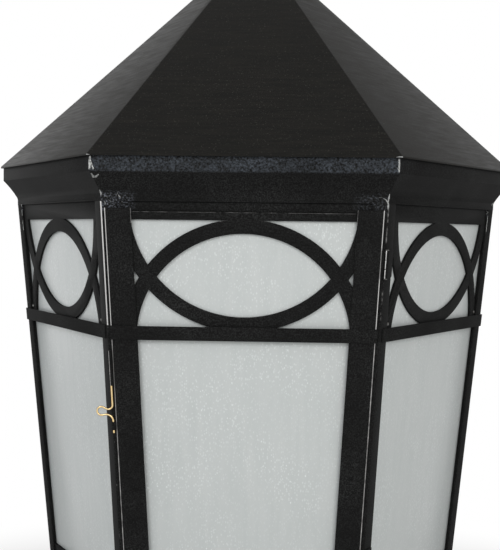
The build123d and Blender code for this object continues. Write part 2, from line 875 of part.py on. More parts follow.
def build():
    """Every node by name."""
    plate_back = -post_sheet - tracery_sheet
    upper_hinge, lower_hinge = hinge_drops()
    foot = face_length - strip_gap
    nodes = {
        "post_fitter": post_fitter(),
        "fitter_flange": fitter_flange(),
        "fitter_set_screws": fitter_set_screws(),
        "base_pan": base_pan(),
        "bottom_ring": flat_ring(foot_apothem, bottom_ring_width, bottom_ring_z, bottom_ring_thickness),
        "top_ring": top_ring(),
        "tracery_rivets": tracery_rivets(),
        "glass_clips": [clip for face in range(1, SIDES) for clip in clips(face, plate_back, glass_inset)],
        "door_header": strip(strip_gap, header_drop),
        "door_sill": strip(foot - sill_height, foot),
        "door_stile_left": door_stile(-1),
        "door_stile_right": door_stile(1),
        "door_tracery": door_tracery(),
        "door_mid_band": door_mid_band(),
        "door_glass": door_glass(),
        "door_clips": clips(0, door_gap - tracery_sheet, door_glass_inset()),
        "door_latch_eye": door_latch_eye(),
        "hinge_door_leaf_upper": hinge_leaf(0, upper_hinge, -1, (1,), door_gap - leaf_sheet),
        "hinge_door_leaf_lower": hinge_leaf(0, lower_hinge, -1, (1,), door_gap - leaf_sheet),
        "hinge_body_leaf_upper": hinge_leaf(1, upper_hinge, 1, (0, 2), body_leaf_lift),
        "hinge_body_leaf_lower": hinge_leaf(1, lower_hinge, 1, (0, 2), body_leaf_lift),
        "hinge_pins": hinge_pins(),
        "latch_sleeve": latch_sleeve(),
        "latch_wire": latch_wire(),
        "cornice_moulding": cornice_moulding(),
        "roof_shell": roof_shell(),
        "roof_brackets": roof_brackets(),
        "roof_screws": roof_screws(),
        "roof_apex_cap": roof_apex_cap(),
        "finial": finial(),
        "finial_stud": finial_stud(),
        "finial_nut": finial_nut(),
        "lamp_tray": lamp_tray(),
        "lamp_stem": lamp_stem(),
        "stem_nuts": stem_nuts(),
        "socket_cup": socket_cup(),
        "lamp_socket": lamp_socket(),
        "lamp_bulb": lamp_bulb(),
    }
    for corner in range(SIDES):
        nodes[f"corner_post_{corner + 1}"] = corner_post(corner)
    for face in range(1, SIDES):
        nodes[f"tracery_panel_{face}"] = tracery_panel(face)
        nodes[f"mid_band_{face}"] = mid_band(face)
        nodes[f"glass_pane_{face}"] = glass_pane(face)
    return nodes


def solids_of(shape):
    """The solids of a shape, or of a list of shapes."""
    if isinstance(shape, list):
        return [solid for piece in shape for solid in piece.solids()]
    return shape.solids()


os.makedirs("parts", exist_ok=True)
for name, shape in build().items():
    export_step(Compound(children=solids_of(shape)), f"parts/{name}.step")

point, up = hinge_axis()
print("levels: foot", foot_z, "head", head_z, "eave", eave_z, "cap top", cap_top_z)
print("hinge point at the head", tuple(point), "direction", tuple(up))
print("latch direction", tuple(corner_plane(left_corner, 0).z_dir))
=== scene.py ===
"""Post top lantern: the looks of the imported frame, laid out as an add-on and run as a script.

Lengths are in metres in the lantern's own frame: the origin is the centre of the post fitter's mouth,
+Z is up and the door faces -Y.
"""
import json
import math
import random

import bmesh
import bpy
from mathutils import Matrix, Vector
from mathutils.bvhtree import BVHTree

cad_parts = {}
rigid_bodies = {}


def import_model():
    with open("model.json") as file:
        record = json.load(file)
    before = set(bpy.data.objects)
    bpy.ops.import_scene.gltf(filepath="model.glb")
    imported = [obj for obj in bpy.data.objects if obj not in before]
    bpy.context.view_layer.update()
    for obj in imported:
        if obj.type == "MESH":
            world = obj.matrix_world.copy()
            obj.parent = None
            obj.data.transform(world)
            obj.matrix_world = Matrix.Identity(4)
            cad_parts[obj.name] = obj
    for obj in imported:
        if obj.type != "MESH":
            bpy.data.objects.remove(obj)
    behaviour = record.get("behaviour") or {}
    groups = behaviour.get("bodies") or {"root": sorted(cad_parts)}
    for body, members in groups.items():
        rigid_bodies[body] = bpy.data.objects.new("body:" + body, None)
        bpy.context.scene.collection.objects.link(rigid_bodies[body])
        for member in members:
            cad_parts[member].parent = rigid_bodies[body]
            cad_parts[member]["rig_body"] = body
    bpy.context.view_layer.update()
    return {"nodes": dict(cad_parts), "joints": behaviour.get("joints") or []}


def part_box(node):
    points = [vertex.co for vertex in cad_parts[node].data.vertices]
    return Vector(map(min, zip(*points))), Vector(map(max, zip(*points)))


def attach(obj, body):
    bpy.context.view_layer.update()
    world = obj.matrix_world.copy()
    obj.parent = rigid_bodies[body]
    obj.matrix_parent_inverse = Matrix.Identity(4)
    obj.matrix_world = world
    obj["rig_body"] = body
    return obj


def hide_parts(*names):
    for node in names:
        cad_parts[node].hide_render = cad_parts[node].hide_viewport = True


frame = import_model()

bl_info = {
    "name": "Post top lantern",
    "version": (1, 0, 0),
    "blender": (4, 5, 0),
    "location": "View3D > Sidebar > Lantern",
    "description": "Dresses a six-sided post top lantern in its paint, glass, brass and steel",
    "category": "Object",
}

MM = 0.001
SIDES = 6
FACE_TURN = 360 / SIDES
# Angles of the four corners that the photograph shows, in degrees about the axis.
FRONT_LEFT = -120
FRONT_RIGHT = -60
FAR_RIGHT = 0
FAR_LEFT = 180
WELD_SEED = 7

# Levels on the lantern.
NECK_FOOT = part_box("cornice_moulding")[0].z
NECK_HEIGHT = 5.5 * MM
COVE_RISE = 21.4 * MM
FASCIA_FOOT = NECK_FOOT + NECK_HEIGHT + COVE_RISE
BAND_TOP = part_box("door_mid_band")[1].z

# Scuffs at both ends of the cornice's neck: how far they reach up and down from its foot, how far out
# from the middle they start and are full, and how strong they are at each end.
SCUFF_REACH = 13 * MM
SCUFF_START = 105 * MM
SCUFF_FULL = 120 * MM
SCUFF_LEFT = 0.85
SCUFF_RIGHT = 0.3

# How worn an edge or a line is, from 0, all its coat, to 1, bare steel. The higher levels are partly painted
# highlights: bare steel stands in for the light that rounded edges catch.
NO_WEAR = 0.0
SHEET_WEAR = 0.1
ROOF_WEAR = 0.12
BAR_WEAR = 0.2
LEAF_WEAR = 0.3
TRACERY_TOP_HIGHLIGHT = 0.52
STILE_INNER_WEAR_AND_HIGHLIGHT = 0.6
STILE_OUTER_WEAR_AND_HIGHLIGHT = 0.66
SLEEVE_HIGHLIGHT = 0.66
BARREL_WEAR_AND_HIGHLIGHT = 0.9
BARE = 1.0
# The folds of the two front posts, above and below the band: the left fold is bare steel above the band and
# the right one faint, a painted highlight from light on the left, partly wear. The others are worn as the
# bars are.
POST_FOLD_WEAR_AND_HIGHLIGHT = {1: (0.47, BAR_WEAR), 6: (BARE, 0.4)}

# Where the wear and the painted highlights lie: lengths, angles in degrees, and how far up a face looks that
# counts as a top edge.
STILE_TOP_BRIGHT_REACH = 15 * MM
BARREL_REACH = 2.3 * MM
FOLD_SPREAD = 20
CHAMFER_SPREAD = 25
BARREL_HIGHLIGHT_ANGLE = -115
SLEEVE_HIGHLIGHT_ANGLE = -105
HIGHLIGHT_STRIPE_SPREAD = 10
UPWARD = 0.3

# Stretches of the patterns along each axis: a small share draws them out.
STREAK_STRETCH = (1.0, 1.0, 0.08)
SEED_STRETCH = (1.0, 1.0, 0.62)
SANDING_STRETCH = (0.06, 0.06, 1.0)

# Steel is a little less metallic than a clean metal, for the haze of oxide on it.
STEEL_METALLIC = 0.85

# Layers of seeds in the glass: the pitch as a share of the seed pitch, a seed's reach within its cell,
# the share of cells that hold none, and how bright the seeds are.
SEED_LAYERS = (
    (1.0, 0.16, 0.5, 0.8),
    (0.6, 0.2, 0.6, 0.7),
    (0.4, 0.45, 0.3, 0.42),
)


def linear(code):
    """Linear RGBA of an sRGB hex colour."""
    shares = [int(code[start:start + 2], 16) / 255 for start in (1, 3, 5)]
    return tuple(c / 12.92 if c <= 0.04045 else ((c + 0.055) / 1.055) ** 2.4 for c in shares) + (1.0,)


def colour(name, description, code):
    """A colour property in linear RGB."""
    return bpy.props.FloatVectorProperty(name=name, description=description, subtype="COLOR", size=4,
                                         min=0.0, max=1.0, default=linear(code))


def length(name, description, default):
    """A length property in metres."""
    return bpy.props.FloatProperty(name=name, description=description, default=default, min=0.0,
                                   precision=5, unit="LENGTH")


# ---------------------------------------------------------------- sizes and colours

class LanternSizes(bpy.types.PropertyGroup):
    """Sizes of the lantern's finish"""
    sheet_round: length("Sheet edge", "Rounding left on cut sheet edges by the coat", 0.25 * MM)
    bar_round: length("Bar edge", "Rounding of the door's and the bands' flat bars", 0.3 * MM)
    fold_round: length("Roof fold", "Rounding of the roof's folds and lip", 0.9 * MM)
    leaf_round: length("Hinge leaf edge", "Rounding of the hinge leaves", 0.15 * MM)
    weld_height: length("Weld height", "How far a ground weld stands proud of the cornice", 0.3 * MM)
    wear_patch: length("Wear patch", "Size of the patches in a worn edge", 7.0 * MM)
    coat_grain: length("Coat grain", "Grain of the powder coat, drawn coarse enough to show", 1.3 * MM)
    coat_relief: length("Coat relief", "Height of the powder coat's grain", 0.15 * MM)
    # Painted light: the cornice's mottle lightens only the fascia's front faces, partly grain and partly
    # light falling on the front.
    mottle_grain: length("Mottle grain", "Grain of the cornice's thicker coat", 2.1 * MM)
    mottle_patch: length("Mottle patch", "Size of the stronger and weaker places in the mottle", 45 * MM)
    paint_ripple: length("Paint ripple", "Ripple of the sprayed roof paint", 3.0 * MM)
    ripple_relief: length("Ripple relief", "Height of the roof paint's ripple", 0.2 * MM)
    sanding_pitch: length("Sanding pitch", "Width of the sanding streaks in the roof paint", 2.5 * MM)
    dust_size: length("Dust size", "Size of the dust specks in the roof paint", 1.5 * MM)
    seed_pitch: length("Seed pitch", "Mean distance between seeds in the glass", 5.0 * MM)
    seed_crowd: length("Seed crowd", "Size of the places where seeds crowd together", 60 * MM)
    streak_pitch: length("Streak pitch", "Width of the drawn streaks in the glass", 9.0 * MM)
    glass_relief: length("Glass relief", "Height of the glass's streaks and seeds", 0.3 * MM)
    brass_mark: length("Brass mark", "Size of the marks on the brass", 1.6 * MM)
    weld_bloom: length("Weld bloom", "Size of the burnt patches in the welds", 1.6 * MM)
    plate_bloom: length("Plate bloom", "Size of the clouds in zinc plate", 2.5 * MM)
    glaze_speck_size: length("Glaze speck size", "Size of the specks in the socket's glaze", 1.5 * MM)
    bulb_cloud_size: length("Bulb cloud size", "Size of the clouds in the bulb's powder", 12 * MM)


class LanternColours(bpy.types.PropertyGroup):
    """Colours of the lantern's finish"""
    roof_paint: colour("Roof paint", "Satin black enamel of the roof", "#1a1a19")
    sanded_paint: colour("Sanded paint", "Slightly lighter streaks of the roof's enamel", "#22211f")
    dust: colour("Dust", "Specks of dust in the enamel", "#55554f")
    coat: colour("Powder coat", "Fine textured black powder coat", "#171717")
    coat_fleck: colour("Coat fleck", "Lighter tops of the coat's grain", "#363737")
    # Painted light: this mottle colour lightens the fascia's front faces, partly grain and partly light
    # falling on the front.
    lit_mottle: colour("Mottle", "Bluish grey mottle of the thicker coat on the cornice", "#4b5057")
    scuff: colour("Scuff", "Grey scuffs of the coat beside the cornice's welds", "#80858f")
    # This bare steel also paints the highlights on edges, post folds, the hinge barrel and the latch sleeve.
    bare_steel: colour("Bare steel", "Steel that shows where the coat is worn", "#c4c3c2")
    weld: colour("Ground weld", "Steel of the ground and brushed welds", "#b2b4b3")
    burnt_weld: colour("Burnt weld", "Darker patches of the ground welds", "#606160")
    glass: colour("Glass", "White seedy glass", "#c5c9c9")
    glass_streak: colour("Glass streak", "Slightly darker streaks in the glass", "#bfc4c4")
    seed: colour("Seed", "Bright rims of the seeds", "#e4e9e9")
    brass: colour("Brass", "Drawn brass wire", "#ecd3a0")
    # Painted shade: this colour also darkens the wire's sides, away from the front, besides its tarnish
    # marks.
    tarnish_and_side_shade: colour("Tarnish", "Darker bloom on the brass", "#9c6c30")
    # Painted shade: this dark edge tint stands for dark surroundings reflected at the wire's sides.
    brass_edge_shade: colour("Brass edge", "Brown of the brass seen edge on", "#3a2410")
    zinc: colour("Zinc", "Bright zinc plate", "#b4b6b6")
    zinc_bloom: colour("Zinc bloom", "Duller clouds in the zinc plate", "#8f9292")
    old_zinc: colour("Old zinc", "Dulled plate of the rivets and hinge pins", "#6e6f6d")
    plate_stain: colour("Plate stain", "Brown stain on the dulled plate", "#3d3833")
    ceramic: colour("Ceramic", "Glazed lamp socket", "#dcd9d0")
    glaze_speck: colour("Glaze speck", "Dark specks in the socket's glaze", "#8b857a")
    bulb: colour("Bulb", "Frosted lamp glass", "#eeeeea")
    bulb_cloud: colour("Bulb cloud", "Thinner powder inside the bulb", "#e2e2dc")
    floor: colour("Floor", "Pale studio floor", "#f2f2f1")


def sizes():
    """The lantern's size settings."""
    return bpy.context.scene.lantern_sizes


def colours():
    """The lantern's colour settings."""
    return bpy.context.scene.lantern_colours


def shade(name):
    """One of the colour settings, as a shader takes it."""
    return tuple(getattr(colours(), name))


# ---------------------------------------------------------------- materials

def add(tree, kind, settings, inputs):
    """Adds a shader node with its settings, and links or values for its inputs by name or number."""
    made = tree.nodes.new("ShaderNode" + kind)
    for key, value in settings.items():
        setattr(made, key, value)
    for key, value in inputs.items():
        if isinstance(value, bpy.types.NodeSocket):
            tree.links.new(value, made.inputs[key])
        else:
            made.inputs[key].default_value = value
    return made


def material(name, **inputs):
    """A new material and its shader, with values that are the same all over set on the shader."""
    made = bpy.data.materials.new(name)
    made.use_nodes = True
    shader = made.node_tree.nodes["Principled BSDF"]
    for key, value in inputs.items():
        shader.inputs[key.replace("_", " ")].default_value = value
    made.diffuse_color = shader.inputs["Base Color"].default_value
    return made, made.node_tree, shader


def place(tree, stretch=(1.0, 1.0, 1.0)):
    """Coordinates on the object in metres, stretched along each axis."""
    where = add(tree, "TexCoord", {}, {})
    return add(tree, "Mapping", {}, {"Vector": where.outputs["Object"], "Scale": stretch}).outputs[0]


def grain(tree, where, size, detail=2.0, roughness=0.5):
    """Noise whose features are a given size in metres."""
    return add(tree, "TexNoise", {}, {"Vector": where, "Scale": 1.0 / size, "Detail": detail,
                                      "Roughness": roughness}).outputs["Fac"]


def span(tree, value, low, high, start=0.0, end=1.0):
    """A value moved from one range to another, and kept inside it."""
    return add(tree, "MapRange", {}, {0: value, 1: low, 2: high, 3: start, 4: end}).outputs[0]


def sums(tree, operation, first, second=0.0):
    """One step of arithmetic."""
    return add(tree, "Math", {"operation": operation}, {0: first, 1: second}).outputs[0]


def product(tree, first, *others):
    """Shares multiplied together."""
    for other in others:
        first = sums(tree, "MULTIPLY", first, other)
    return first


def blended(tree, share, first, second):
    """Two colours mixed by a share."""
    return add(tree, "Mix", {"data_type": "RGBA"}, {0: share, 6: first, 7: second}).outputs[2]


def bare_where_worn_or_highlighted(tree, shader, mask, coat):
    """Lets bare steel show through a coat where the mask is high: worn steel, and painted highlights on
    edges.
    """
    tree.links.new(blended(tree, mask, coat, shade("bare_steel")), shader.inputs["Base Color"])
    tree.links.new(span(tree, mask, 0.0, 1.0, 0.0, STEEL_METALLIC), shader.inputs["Metallic"])


def relief(tree, shader, strength, height, pattern):
    """Raises a pattern on a surface."""
    bump = add(tree, "Bump", {}, {"Strength": strength, "Distance": height, "Height": pattern})
    tree.links.new(bump.outputs[0], shader.inputs["Normal"])


def edge_mask(tree, where):
    """Worn and painted-highlight edges: each edge face holds how worn or how brightly painted it is, and
    noise breaks this into patches.
    """
    wear = add(tree, "Attribute", {"attribute_name": "wear"}, {}).outputs["Fac"]
    patches = span(tree, grain(tree, where, sizes().wear_patch, 3.0, 0.6), 0.25, 0.75, -0.15, 0.15)
    return span(tree, sums(tree, "ADD", wear, patches), 0.45, 0.85)


def front_share(tree, least, most):
    """How squarely a surface faces the front, as a share between two facings."""
    normal = add(tree, "TexCoord", {}, {}).outputs["Normal"]
    return span(tree, add(tree, "SeparateXYZ", {}, {0: normal}).outputs[1], -least, -most)


def mottle_masks(tree, where):
    """Where the front is lightened: a mottle on the front faces of the cornice's fascia, partly grain and
    partly painted light, and scuffs at both ends of its neck.
    """
    axes = add(tree, "SeparateXYZ", {}, {0: where}).outputs
    front = front_share(tree, 0.6, 0.75)
    fascia = span(tree, axes[2], FASCIA_FOOT - MM, FASCIA_FOOT + MM)
    patches = span(tree, grain(tree, where, sizes().mottle_patch), 0.35, 0.65, 0.5, 1.0)
    above = span(tree, axes[2], NECK_FOOT - SCUFF_REACH, NECK_FOOT - 0.7 * SCUFF_REACH)
    below = span(tree, axes[2], NECK_FOOT + 0.7 * SCUFF_REACH, NECK_FOOT + 0.3 * SCUFF_REACH)
    left = span(tree, axes[0], -SCUFF_START, -SCUFF_FULL, 0.0, SCUFF_LEFT)
    right = span(tree, axes[0], SCUFF_START, SCUFF_FULL, 0.0, SCUFF_RIGHT)
    return (product(tree, fascia, front, patches),
            product(tree, above, below, sums(tree, "MAXIMUM", left, right), front))


def powder_coat(name="powder_coat", mottled=False):
    """Polyester powder coat, sprayed and baked on mild steel.

    It looks black and dry, with a fine bright grain, and bare steel shows on edges, as wear and as painted
    highlights. The real grain is about 0.4 mm, and it is drawn at 1.3 mm so that it shows.
    """
    made, tree, shader = material(name, Base_Color=shade("coat"), Roughness=0.5,
                                  Specular_IOR_Level=0.01)
    where = place(tree)
    fine = grain(tree, where, sizes().coat_grain, roughness=0.6)
    broad = grain(tree, where, 40 * sizes().coat_grain)
    fleck = product(tree, span(tree, fine, 0.42, 0.75), span(tree, broad, 0.3, 0.7, 0.35, 1.0))
    coat = blended(tree, fleck, shade("coat"), shade("coat_fleck"))
    if mottled:
        # Painted light: a lighter bluish mottle on the fascia's front faces, partly grain; and scuffs at the
        # neck's ends.
        fascia, neck = mottle_masks(tree, where)
        spots = grain(tree, where, sizes().mottle_grain, 3.0, 0.7)
        lit_mottle = product(tree, span(tree, spots, 0.4, 0.68), fascia)
        scuff = product(tree, span(tree, spots, 0.5, 0.7), neck)
        coat = blended(tree, lit_mottle, coat, shade("lit_mottle"))
        coat = blended(tree, scuff, coat, shade("scuff"))
    bare_where_worn_or_highlighted(tree, shader, edge_mask(tree, where), coat)
    tree.links.new(span(tree, fine, 0.3, 0.7, 0.42, 0.6), shader.inputs["Roughness"])
    relief(tree, shader, 0.25, sizes().coat_relief, fine)
    return made


def thick_powder_coat():
    """The powder coat on the cornice and round it: scuffed in front, with a lighter mottle on the fascia's
    front that is partly grain and partly painted light.
    """
    return powder_coat("thick_powder_coat", mottled=True)


def roof_enamel():
    """Satin black enamel, sprayed on sheet steel.

    It looks smooth and deep, with a slight ripple, faint sanding streaks and specks of dust.
    """
    made, tree, shader = material("satin_enamel", Base_Color=shade("roof_paint"), Roughness=0.42,
                                  Specular_IOR_Level=0.035)
    where = place(tree)
    ripple = grain(tree, where, sizes().paint_ripple)
    streaks = grain(tree, place(tree, SANDING_STRETCH), sizes().sanding_pitch, 3.0, 0.6)
    specks = span(tree, grain(tree, where, sizes().dust_size, 1.0), 0.66, 0.74)
    tone = blended(tree, span(tree, streaks, 0.35, 0.75), shade("roof_paint"), shade("sanded_paint"))
    tone = blended(tree, product(tree, specks, 0.35), tone, shade("dust"))
    bare_where_worn_or_highlighted(tree, shader, edge_mask(tree, where), tone)
    tree.links.new(span(tree, streaks, 0.3, 0.7, 0.38, 0.5), shader.inputs["Roughness"])
    relief(tree, shader, 0.12, sizes().ripple_relief, ripple)
    return made


def seedy_glass():
    """White seedy glass: opal sheet glass, drawn with bubbles in it.

    It looks milky and even, with small bright seeds, longer upwards, and faint drawn streaks.
    """
    made, tree, shader = material("white_seedy_glass", Base_Color=shade("glass"), Roughness=0.3,
                                  IOR=1.5, Specular_IOR_Level=0.07)
    streaks = grain(tree, place(tree, STREAK_STRETCH), sizes().streak_pitch, 3.0, 0.55)
    tone = blended(tree, span(tree, streaks, 0.3, 0.75), shade("glass"), shade("glass_streak"))
    upwards = place(tree, SEED_STRETCH)
    seeds = 0.0
    for pitch, reach, empty, bright in SEED_LAYERS:
        cells = add(tree, "TexVoronoi", {"feature": "F1"},
                    {"Vector": upwards, "Scale": 1.0 / (pitch * sizes().seed_pitch), "Randomness": 1.0})
        spot = span(tree, cells.outputs["Distance"], reach, 0.5 * reach)
        pick = add(tree, "SeparateColor", {}, {0: cells.outputs["Color"]}).outputs[0]
        layer = product(tree, spot, span(tree, pick, empty, empty + 0.2, 0.0, bright))
        seeds = sums(tree, "MAXIMUM", layer, seeds)
    crowd = span(tree, grain(tree, place(tree), sizes().seed_crowd, 1.0), 0.42, 0.6, 0.4, 1.0)
    crowded = product(tree, seeds, crowd)
    tree.links.new(blended(tree, crowded, tone, shade("seed")), shader.inputs["Base Color"])
    height = sums(tree, "ADD", streaks, product(tree, crowded, 0.5))
    relief(tree, shader, 0.3, sizes().glass_relief, height)
    return made


def drawn_brass():
    """Drawn brass wire: lighter where it faces the front and browner at its sides, a painted highlight and
    shade, and browner too where it tarnished.
    """
    made, tree, shader = material("drawn_brass", Base_Color=shade("brass"), Metallic=1.0,
                                  Roughness=0.22, Specular_Tint=shade("brass_edge_shade"))
    marks = grain(tree, place(tree), sizes().brass_mark)
    # Painted highlight and shade: faces toward the front get the lighter brass, the sides the darker, and
    # noise adds tarnish marks.
    front_highlight_less_tarnish = sums(tree, "SUBTRACT", front_share(tree, 0.35, 0.9), span(tree, marks, 0.5, 0.8, 0.0, 0.5))
    tone = blended(tree, span(tree, front_highlight_less_tarnish, 0.0, 1.0), shade("tarnish_and_side_shade"), shade("brass"))
    tree.links.new(tone, shader.inputs["Base Color"])
    tree.links.new(span(tree, marks, 0.3, 0.7, 0.16, 0.32), shader.inputs["Roughness"])
    return made


def steel(name, tint, dull, roughness, cloud):
    """Bare or plated steel, with soft, duller clouds of a given size."""
    made, tree, shader = material(name, Base_Color=tint, Metallic=STEEL_METALLIC, Roughness=roughness)
    bloom = grain(tree, place(tree), cloud, 3.0, 0.65)
    tree.links.new(blended(tree, span(tree, bloom, 0.35, 0.7), tint, dull), shader.inputs["Base Color"])
    gloss = span(tree, bloom, 0.3, 0.7, roughness - 0.08, roughness + 0.12)
    tree.links.new(gloss, shader.inputs["Roughness"])
    return made


def ground_weld():
    """Welds ground off and brushed: bright bare steel, with darker burnt patches."""
    return steel("ground_weld", shade("weld"), shade("burnt_weld"), 0.5, sizes().weld_bloom)


def dull_plate():
    """Old zinc plate on steel: grey and dull, with brown stains."""
    return steel("dull_plated_steel", shade("old_zinc"), shade("plate_stain"), 0.45, sizes().plate_bloom)


def zinc_plate():
    """Bright zinc plate on steel: pale and half glossy, with duller clouds."""
    return steel("zinc_plated_steel", shade("zinc"), shade("zinc_bloom"), 0.35, sizes().plate_bloom)


def glazed_ceramic():
    """Glazed steatite: an off-white body under a clear glaze, with a few dark specks."""
    made, tree, shader = material("glazed_ceramic", Base_Color=shade("ceramic"), Roughness=0.15,
                                  Coat_Weight=0.5)
    specks = span(tree, grain(tree, place(tree), sizes().glaze_speck_size, 1.0), 0.7, 0.74)
    tone = blended(tree, product(tree, specks, 0.5), shade("ceramic"), shade("glaze_speck"))
    tree.links.new(tone, shader.inputs["Base Color"])
    return made


def frosted_glass():
    """Frosted lamp glass: clear glass with a white powder inside, soft and even."""
    made, tree, shader = material("frosted_lamp_glass", Base_Color=shade("bulb"), Roughness=0.3,
                                  IOR=1.5)
    clouds = grain(tree, place(tree), sizes().bulb_cloud_size)
    tone = blended(tree, span(tree, clouds, 0.3, 0.7), shade("bulb"), shade("bulb_cloud"))
    tree.links.new(tone, shader.inputs["Base Color"])
    return made


# Each finish's material slot, and what makes its material.
FINISHES = {
    "enamel": ("roof_paint", roof_enamel),
    "coat": ("frame_paint", powder_coat),
    "lit_mottled_coat": ("frame_paint", thick_powder_coat),
    "glass": ("seedy_glass", seedy_glass),
    "brass": ("brass", drawn_brass),
    "weld": ("hinge_steel", ground_weld),
    "dull_plate": ("hinge_steel", dull_plate),
    "zinc": ("zinc_steel", zinc_plate),
    "ceramic": ("socket_ceramic", glazed_ceramic),
    "bulb": ("lamp_glass", frosted_glass),
}
MADE = {}


def finish(name):
    """The material of a finish, made once."""
    if name not in MADE:
        MADE[name] = FINISHES[name][1]()
    return MADE[name]


# ---------------------------------------------------------------- meshes

# Angles between faces: flat enough to be one face, sharp enough to be an edge, and nearly square.
FLAT = math.radians(0.3)
SHARP = math.radians(28)
SQUARE = math.radians(60)
TOUCH = 0.001 * MM
MITRE_TOUCH = 5 * TOUCH


def body_of(node):
    """The body that a CAD node rides on."""
    return frame["nodes"][node]["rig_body"]


def heading(angle):
    """Level unit vector at an angle in degrees about the axis."""
    return Vector((math.cos(math.radians(angle)), math.sin(math.radians(angle)), 0.0))


def copied(node, ring=False):
    """The node's mesh with its doubled points joined and its flat faces whole, and no wear or painted
    highlight on it yet.
    """
    mesh = bmesh.new()
    mesh.from_mesh(frame["nodes"][node].data)
    mesh.faces.layers.float.new("wear")
    bmesh.ops.remove_doubles(mesh, verts=mesh.verts, dist=TOUCH)
    if ring:
        join_mitres(mesh)
    bmesh.ops.dissolve_limit(mesh, angle_limit=FLAT, use_dissolve_boundaries=False, verts=mesh.verts,
                             edges=mesh.edges, delimit=set())
    return mesh


def join_mitres(mesh):
    """Opens the mitre faces between a ring's six lengths and joins the lengths into one."""
    inner = []
    for face in mesh.faces:
        for index in range(SIDES // 2):
            across = heading(FACE_TURN * index + 90)
            if all(abs(vert.co.dot(across)) < MITRE_TOUCH for vert in face.verts):
                inner.append(face)
                break
    bmesh.ops.delete(mesh, geom=inner, context="FACES")
    bmesh.ops.remove_doubles(mesh, verts=mesh.verts, dist=MITRE_TOUCH)


def round_edges(mesh, width, wear, above=SHARP):
    """Rounds the outer edges that turn by more than an angle, and marks how worn, or how bright with painted
    highlight, the new faces are.
    """
    layer = mesh.faces.layers.float["wear"]
    edges = [e for e in mesh.edges if len(e.link_faces) == 2 and e.calc_face_angle_signed(0) > above]
    made = bmesh.ops.bevel(mesh, geom=edges, offset=width, offset_type="OFFSET", segments=2,
                           profile=0.5, affect="EDGES", clamp_overlap=False)
    for face in made["faces"]:
        face[layer] = wear(face) if callable(wear) else wear


def mark(mesh, wear, chosen):
    """Marks how worn, or how bright with painted highlight, the chosen faces are."""
    layer = mesh.faces.layers.float["wear"]
    for face in mesh.faces:
        if chosen(face):
            face[layer] = wear


def cut(mesh, height):
    """Cuts every face at a height, so that each side of the cut can be worn differently."""
    bmesh.ops.bisect_plane(mesh, geom=mesh.verts[:] + mesh.edges[:] + mesh.faces[:], dist=TOUCH,
                           plane_co=(0, 0, height), plane_no=(0, 0, 1))


def within(face, direction, angle):
    """Whether a face looks in a direction, within an angle in degrees."""
    return face.normal.angle(direction, math.pi) < math.radians(angle)


def raised(face, height):
    """Whether a face's middle lies above a height."""
    return face.calc_center_median().z > height


def dress(name, mesh, finish_name, body, nodes=()):
    """Makes a piece of a mesh, gives it its finish and lets it stand for its CAD nodes."""
    data = bpy.data.meshes.new(name)
    mesh.to_mesh(data)
    mesh.free()
    data.shade_smooth()
    data.set_sharp_from_angle(angle=SHARP)
    data.materials.append(finish(finish_name))
    piece = bpy.data.objects.new(name, data)
    bpy.context.scene.collection.objects.link(piece)
    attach(piece, body)
    if nodes:
        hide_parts(*nodes)


def rounded(node, finish_name, width, wear, ring=False):
    """A CAD node's shape with rounded edges, worn or painted bright as highlights."""
    mesh = copied(node, ring)
    round_edges(mesh, width, wear)
    stand_in(node, mesh, finish_name)


def stand_in(node, mesh, finish_name):
    """Lets a mesh stand for a CAD node."""
    dress(node + "_dressed", mesh, finish_name, body_of(node), [node])


def plain(node, finish_name):
    """A CAD node whose shape is right keeps its mesh and gets its finish."""
    shown = frame["nodes"][node].data
    shown.materials.clear()
    shown.materials.append(finish(finish_name))


# ---------------------------------------------------------------- ground welds

# A distance from the axis that is clear of the lantern.
OUTSIDE = 0.5

